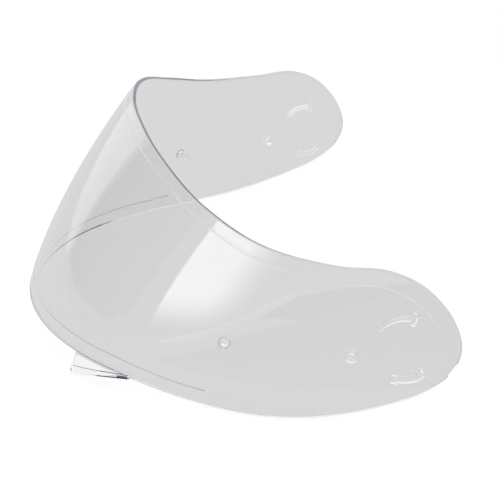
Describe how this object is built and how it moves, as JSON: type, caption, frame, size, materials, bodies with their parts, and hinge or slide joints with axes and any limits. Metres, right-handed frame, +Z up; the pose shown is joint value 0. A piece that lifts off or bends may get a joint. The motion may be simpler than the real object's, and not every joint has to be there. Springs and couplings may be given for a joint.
{
  "type": "helmet visor",
  "caption": "Clear wrap-round full-face helmet visor with hooked ears, a lift tab at one lower corner and eccentric anti-fog insert pins.",
  "frame": {"origin": "on the table that the visor lies on, below the middle of its box", "axes": "+X towards the rider's left, across the visor from ear to ear; -Y towards the front; +Z up from the table"},
  "size_m": [0.2408, 0.156, 0.0885],
  "materials": {
    "clear_shell": "clear polished polycarbonate with moulded edges",
    "clear_pin": "clear polished plastic",
    "seal": "translucent soft silicone"
  },
  "bodies": {
    "visor": {"visor_shell": "clear_shell", "left_pin_seal": "seal", "right_pin_seal": "seal"},
    "left_pin": {"left_pin_body": "clear_pin", "left_pin_cap": "clear_pin"},
    "right_pin": {"right_pin_body": "clear_pin", "right_pin_cap": "clear_pin"}
  },
  "joints": [
    {"name": "left_pin_turn", "type": "hinge", "parent": "visor", "child": "left_pin", "pos_m": [0.09732, -0.00503, 0.02772], "axis": [0.8529, -0.4805, 0.2041], "continuous": true},
    {"name": "right_pin_turn", "type": "hinge", "parent": "visor", "child": "right_pin", "pos_m": [-0.09732, -0.00503, 0.02772], "axis": [-0.8529, -0.4805, 0.2041], "continuous": true}
  ]
}
